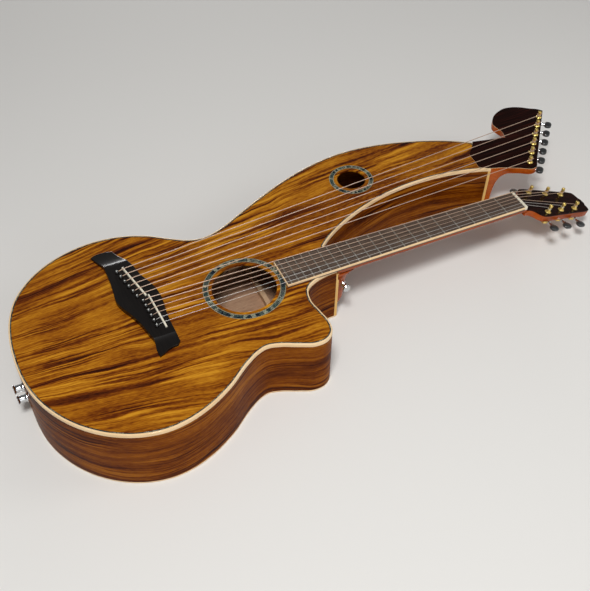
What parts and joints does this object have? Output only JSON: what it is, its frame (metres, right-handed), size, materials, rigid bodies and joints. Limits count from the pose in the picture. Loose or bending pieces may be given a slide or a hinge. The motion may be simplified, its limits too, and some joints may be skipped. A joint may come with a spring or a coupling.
{
  "type": "harp guitar",
  "caption": "Acoustic guitar whose hollow body runs on into an arm carrying a second head of open bass strings, with a cutaway, one long shared bridge and geared tuners.",
  "frame": {"origin": "on the plane of the flat back, under the middle of the box of the whole instrument", "axes": "+X from the tail to the two heads, +Y to the bass side where the arm is, +Z out of the back towards the strings"},
  "size_m": [1.0878, 0.442, 0.1364],
  "materials": {
    "striped_wood": "gloss lacquer over strongly striped golden brown wood",
    "cream_binding": "polished cream",
    "brace_wood": "bare pale wood",
    "mahogany": "satin lacquer over orange brown wood",
    "ebony": "oiled near black wood",
    "bone": "polished bone",
    "head_veneer": "gloss lacquer over dark rosewood",
    "gold_metal": "polished gold plating",
    "tuner_button": "dark grey, polished",
    "chrome": "polished",
    "wound_string": "bronze winding",
    "plain_string": "plain steel wire"
  },
  "bodies": {
    "instrument": {"soundboard": "striped_wood", "back": "striped_wood", "sides": "striped_wood", "top_binding": "cream_binding", "back_binding": "cream_binding", "top_bracing": "brace_wood", "back_bracing": "brace_wood", "neck_block": "mahogany", "tail_block": "mahogany", "neck": "mahogany", "harp_head": "mahogany", "bridge": "ebony", "fingerboard": "ebony", "guitar_saddle": "bone", "harp_saddle": "bone", "nut": "bone", "headplate": "head_veneer", "harp_headplate": "head_veneer", "bass_tuner_plate": "gold_metal", "treble_tuner_plate": "gold_metal", "harp_tuner_plate": "gold_metal", "upper_jack": "chrome", "lower_jack": "chrome", "strap_button": "chrome", "guitar_string_1": "plain_string", "guitar_string_2": "plain_string", "guitar_string_3": "wound_string", "guitar_string_4": "wound_string", "guitar_string_5": "wound_string", "guitar_string_6": "wound_string", "harp_string_1": "wound_string", "harp_string_2": "wound_string", "harp_string_3": "wound_string", "harp_string_4": "wound_string", "harp_string_5": "wound_string", "harp_string_6": "wound_string"},
    "guitar_button_1": {"guitar_tuner_1_button": "tuner_button"},
    "guitar_post_1": {"guitar_tuner_1_post": "gold_metal"},
    "guitar_button_2": {"guitar_tuner_2_button": "tuner_button"},
    "guitar_post_2": {"guitar_tuner_2_post": "gold_metal"},
    "guitar_button_3": {"guitar_tuner_3_button": "tuner_button"},
    "guitar_post_3": {"guitar_tuner_3_post": "gold_metal"},
    "guitar_button_4": {"guitar_tuner_4_button": "tuner_button"},
    "guitar_post_4": {"guitar_tuner_4_post": "gold_metal"},
    "guitar_button_5": {"guitar_tuner_5_button": "tuner_button"},
    "guitar_post_5": {"guitar_tuner_5_post": "gold_metal"},
    "guitar_button_6": {"guitar_tuner_6_button": "tuner_button"},
    "guitar_post_6": {"guitar_tuner_6_post": "gold_metal"},
    "harp_button_1": {"harp_tuner_1_button": "tuner_button"},
    "harp_post_1": {"harp_tuner_1_post": "gold_metal"},
    "harp_button_2": {"harp_tuner_2_button": "tuner_button"},
    "harp_post_2": {"harp_tuner_2_post": "gold_metal"},
    "harp_button_3": {"harp_tuner_3_button": "tuner_button"},
    "harp_post_3": {"harp_tuner_3_post": "gold_metal"},
    "harp_button_4": {"harp_tuner_4_button": "tuner_button"},
    "harp_post_4": {"harp_tuner_4_post": "gold_metal"},
    "harp_button_5": {"harp_tuner_5_button": "tuner_button"},
    "harp_post_5": {"harp_tuner_5_post": "gold_metal"},
    "harp_button_6": {"harp_tuner_6_button": "tuner_button"},
    "harp_post_6": {"harp_tuner_6_post": "gold_metal"}
  },
  "joints": [
    {"name": "guitar_button_1_turn", "type": "hinge", "parent": "instrument", "child": "guitar_button_1", "pos_m": [0.39011, -0.0495, 0.06061], "axis": [0, -1, 0], "continuous": true},
    {"name": "guitar_post_1_turn", "type": "hinge", "parent": "instrument", "child": "guitar_post_1", "pos_m": [0.3905, -0.0495, 0.07782], "axis": [0.3436, 0, 0.9391], "continuous": true},
    {"name": "guitar_button_2_turn", "type": "hinge", "parent": "instrument", "child": "guitar_button_2", "pos_m": [0.42486, -0.0445, 0.04789], "axis": [0, -1, 0], "continuous": true},
    {"name": "guitar_post_2_turn", "type": "hinge", "parent": "instrument", "child": "guitar_post_2", "pos_m": [0.42525, -0.0445, 0.06511], "axis": [0.3436, 0, 0.9391], "continuous": true},
    {"name": "guitar_button_3_turn", "type": "hinge", "parent": "instrument", "child": "guitar_button_3", "pos_m": [0.45961, -0.0415, 0.03518], "axis": [0, -1, 0], "continuous": true},
    {"name": "guitar_post_3_turn", "type": "hinge", "parent": "instrument", "child": "guitar_post_3", "pos_m": [0.45999, -0.0415, 0.05239], "axis": [0.3436, 0, 0.9391], "continuous": true},
    {"name": "guitar_button_4_turn", "type": "hinge", "parent": "instrument", "child": "guitar_button_4", "pos_m": [0.44918, -0.0005, 0.03899], "axis": [0, 1, 0], "continuous": true},
    {"name": "guitar_post_4_turn", "type": "hinge", "parent": "instrument", "child": "guitar_post_4", "pos_m": [0.45999, -0.0005, 0.05239], "axis": [0.3436, 0, 0.9391], "continuous": true},
    {"name": "guitar_button_5_turn", "type": "hinge", "parent": "instrument", "child": "guitar_button_5", "pos_m": [0.41443, 0.0025, 0.05171], "axis": [0, 1, 0], "continuous": true},
    {"name": "guitar_post_5_turn", "type": "hinge", "parent": "instrument", "child": "guitar_post_5", "pos_m": [0.42525, 0.0025, 0.06511], "axis": [0.3436, 0, 0.9391], "continuous": true},
    {"name": "guitar_button_6_turn", "type": "hinge", "parent": "instrument", "child": "guitar_button_6", "pos_m": [0.37969, 0.0075, 0.06442], "axis": [0, 1, 0], "continuous": true},
    {"name": "guitar_post_6_turn", "type": "hinge", "parent": "instrument", "child": "guitar_post_6", "pos_m": [0.3905, 0.0075, 0.07782], "axis": [0.3436, 0, 0.9391], "continuous": true},
    {"name": "harp_button_1_turn", "type": "hinge", "parent": "instrument", "child": "harp_button_1", "pos_m": [0.52036, 0.16533, 0.08308], "axis": [0.741, -0.6712, -0.0209], "continuous": true},
    {"name": "harp_post_1_turn", "type": "hinge", "parent": "instrument", "child": "harp_post_1", "pos_m": [0.51714, 0.16122, 0.10077], "axis": [0.0282, 0, 0.9996], "continuous": true},
    {"name": "harp_button_2_turn", "type": "hinge", "parent": "instrument", "child": "harp_button_2", "pos_m": [0.50092, 0.14385, 0.08363], "axis": [0.741, -0.6712, -0.0209], "continuous": true},
    {"name": "harp_post_2_turn", "type": "hinge", "parent": "instrument", "child": "harp_post_2", "pos_m": [0.4977, 0.13974, 0.10132], "axis": [0.0282, 0, 0.9996], "continuous": true},
    {"name": "harp_button_3_turn", "type": "hinge", "parent": "instrument", "child": "harp_button_3", "pos_m": [0.48148, 0.12238, 0.08417], "axis": [0.741, -0.6712, -0.0209], "continuous": true},
    {"name": "harp_post_3_turn", "type": "hinge", "parent": "instrument", "child": "harp_post_3", "pos_m": [0.47826, 0.11826, 0.10187], "axis": [0.0282, 0, 0.9996], "continuous": true},
    {"name": "harp_button_4_turn", "type": "hinge", "parent": "instrument", "child": "harp_button_4", "pos_m": [0.46205, 0.1009, 0.08472], "axis": [0.741, -0.6712, -0.0209], "continuous": true},
    {"name": "harp_post_4_turn", "type": "hinge", "parent": "instrument", "child": "harp_post_4", "pos_m": [0.45882, 0.09678, 0.10242], "axis": [0.0282, 0, 0.9996], "continuous": true},
    {"name": "harp_button_5_turn", "type": "hinge", "parent": "instrument", "child": "harp_button_5", "pos_m": [0.44261, 0.07942, 0.08527], "axis": [0.741, -0.6712, -0.0209], "continuous": true},
    {"name": "harp_post_5_turn", "type": "hinge", "parent": "instrument", "child": "harp_post_5", "pos_m": [0.43938, 0.07531, 0.10297], "axis": [0.0282, 0, 0.9996], "continuous": true},
    {"name": "harp_button_6_turn", "type": "hinge", "parent": "instrument", "child": "harp_button_6", "pos_m": [0.42317, 0.05794, 0.08582], "axis": [0.741, -0.6712, -0.0209], "continuous": true},
    {"name": "harp_post_6_turn", "type": "hinge", "parent": "instrument", "child": "harp_post_6", "pos_m": [0.41994, 0.05383, 0.10352], "axis": [0.0282, 0, 0.9996], "continuous": true}
  ],
  "couplings": [
    {"joint": "guitar_post_1_turn", "follows": "guitar_button_1_turn", "ratio": 0.0625},
    {"joint": "guitar_post_2_turn", "follows": "guitar_button_2_turn", "ratio": 0.0625},
    {"joint": "guitar_post_3_turn", "follows": "guitar_button_3_turn", "ratio": 0.0625},
    {"joint": "guitar_post_4_turn", "follows": "guitar_button_4_turn", "ratio": 0.0625},
    {"joint": "guitar_post_5_turn", "follows": "guitar_button_5_turn", "ratio": 0.0625},
    {"joint": "guitar_post_6_turn", "follows": "guitar_button_6_turn", "ratio": 0.0625},
    {"joint": "harp_post_1_turn", "follows": "harp_button_1_turn", "ratio": 0.0625},
    {"joint": "harp_post_2_turn", "follows": "harp_button_2_turn", "ratio": 0.0625},
    {"joint": "harp_post_3_turn", "follows": "harp_button_3_turn", "ratio": 0.0625},
    {"joint": "harp_post_4_turn", "follows": "harp_button_4_turn", "ratio": 0.0625},
    {"joint": "harp_post_5_turn", "follows": "harp_button_5_turn", "ratio": 0.0625},
    {"joint": "harp_post_6_turn", "follows": "harp_button_6_turn", "ratio": 0.0625}
  ]
}
